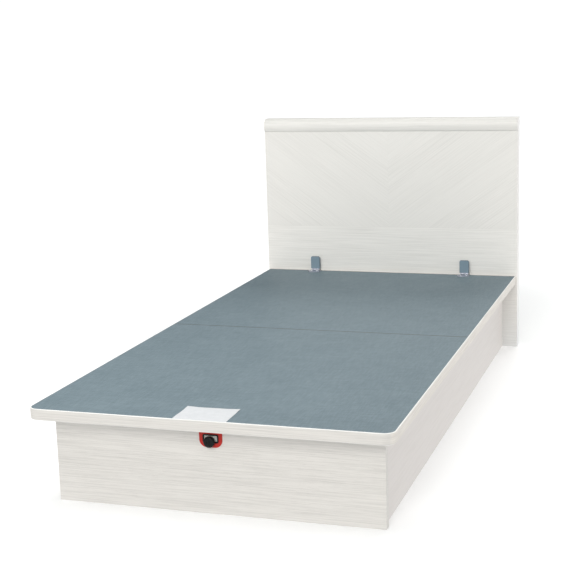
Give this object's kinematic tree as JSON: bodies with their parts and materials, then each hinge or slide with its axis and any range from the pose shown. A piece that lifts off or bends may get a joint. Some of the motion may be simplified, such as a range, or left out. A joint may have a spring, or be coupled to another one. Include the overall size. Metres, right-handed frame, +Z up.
{
  "type": "gas-lift storage platform bed",
  "caption": "Single platform bed: a flat lid with two mattress stops lifts from the foot on gas springs over a floor-standing storage box with a capped headboard.",
  "frame": {"origin": "on the floor, at the centre of the bed's bounding box in plan", "axes": "+X across the bed, +Y from the foot towards the headboard, +Z up; the lid is shut"},
  "size_m": [0.98, 2, 0.862],
  "materials": {
    "white_grain": "white horizontal wood-grain laminate",
    "side_grain": "off-white laminate, smoother grain",
    "raw_wood": "unfinished pine",
    "hardboard": "thin white-faced board",
    "lid_board": "particle board",
    "blue_sheet": "blue-grey decor sheet with a fine linen weave",
    "edge_grain": "white grain edge band with rounded edges",
    "zinc_steel": "zinc-plated steel",
    "black_steel": "black powder-coated steel",
    "rod_chrome": "polished piston rod",
    "socket_plastic": "black glass-filled nylon",
    "bush_nylon": "white nylon",
    "bumper_rubber": "soft black rubber",
    "latch_red": "red paint",
    "latch_black": "black plastic",
    "stop_blue": "blue-grey plastic sleeve",
    "stop_steel": "pale plated steel",
    "bright_screw": "bright screws"
  },
  "bodies": {
    "frame": {"headboard_panel": "white_grain", "headboard_cap": "white_grain", "side_panel_left": "side_grain", "side_panel_right": "side_grain", "foot_panel": "white_grain", "floor_cleats": "raw_wood", "joint_cleats": "raw_wood", "bottom_board_head": "hardboard", "bottom_board_middle": "hardboard", "bottom_board_foot": "hardboard", "centre_divider": "white_grain", "divider_brackets": "zinc_steel", "corner_bracket_head_left": "zinc_steel", "corner_bracket_head_right": "zinc_steel", "corner_bracket_foot_left": "zinc_steel", "corner_bracket_foot_right": "zinc_steel", "bracket_screws": "zinc_steel", "lid_bumpers": "bumper_rubber", "base_rail_left": "black_steel", "base_rail_right": "black_steel", "rail_screws": "zinc_steel", "pivot_pins": "zinc_steel", "lower_spring_pins": "zinc_steel", "latch_plate": "latch_red", "latch_rim": "latch_black", "latch_screws": "zinc_steel"},
    "swing_arms": {"swing_arm_left": "black_steel", "swing_arm_right": "black_steel", "link_pins": "zinc_steel", "upper_spring_pins": "zinc_steel"},
    "lid": {"lid_board_foot": "lid_board", "lid_board_head": "lid_board", "lid_sheet_foot": "blue_sheet", "lid_sheet_head": "blue_sheet", "edge_band_foot": "edge_grain", "edge_band_head": "edge_grain", "long_batten_left": "raw_wood", "long_batten_right": "raw_wood", "cross_battens": "raw_wood", "seam_batten": "raw_wood", "batten_screws": "zinc_steel", "lid_arm_left": "black_steel", "lid_arm_right": "black_steel", "lid_arm_screws": "zinc_steel", "guide_pins": "zinc_steel", "guide_bushes": "bush_nylon", "stop_bracket_left": "stop_steel", "stop_bracket_right": "stop_steel", "stop_sleeves": "stop_blue", "stop_screws": "bright_screw", "latch_keeper": "zinc_steel", "keeper_screws": "zinc_steel"},
    "gas_tubes": {"gas_tube_left": "black_steel", "gas_tube_right": "black_steel", "tube_eyelets": "socket_plastic"},
    "gas_rods": {"gas_rod_left": "rod_chrome", "gas_rod_right": "rod_chrome", "rod_eyelets": "socket_plastic"},
    "latch": {"latch_knob": "latch_black", "latch_cam": "zinc_steel"}
  },
  "joints": [
    {"name": "arm_swing", "type": "hinge", "parent": "frame", "child": "swing_arms", "pos_m": [0, 0.602, 0.088], "axis": [1, 0, 0], "range_deg": [0, 35]},
    {"name": "lid_lift", "type": "hinge", "parent": "swing_arms", "child": "lid", "pos_m": [0, 0.805, 0.222], "axis": [-1, 0, 0], "range_deg": [0, 70]},
    {"name": "tube_turn", "type": "hinge", "parent": "frame", "child": "gas_tubes", "pos_m": [0, 0.77452, 0.03666], "axis": [1, 0, 0], "range_deg": [0, 17.5]},
    {"name": "rod_turn", "type": "hinge", "parent": "swing_arms", "child": "gas_rods", "pos_m": [0, 0.75222, 0.18716], "axis": [-1, 0, 0], "range_deg": [0, 17.5]},
    {"name": "latch_turn", "type": "hinge", "parent": "frame", "child": "latch", "pos_m": [-0.008, -0.922, 0.196], "axis": [0, 1, 0], "range_deg": [0, 90]}
  ],
  "couplings": [
    {"joint": "arm_swing", "follows": "lid_lift", "ratio": 0.5},
    {"joint": "tube_turn", "follows": "lid_lift", "ratio": 0.25},
    {"joint": "rod_turn", "follows": "lid_lift", "ratio": 0.25}
  ]
}
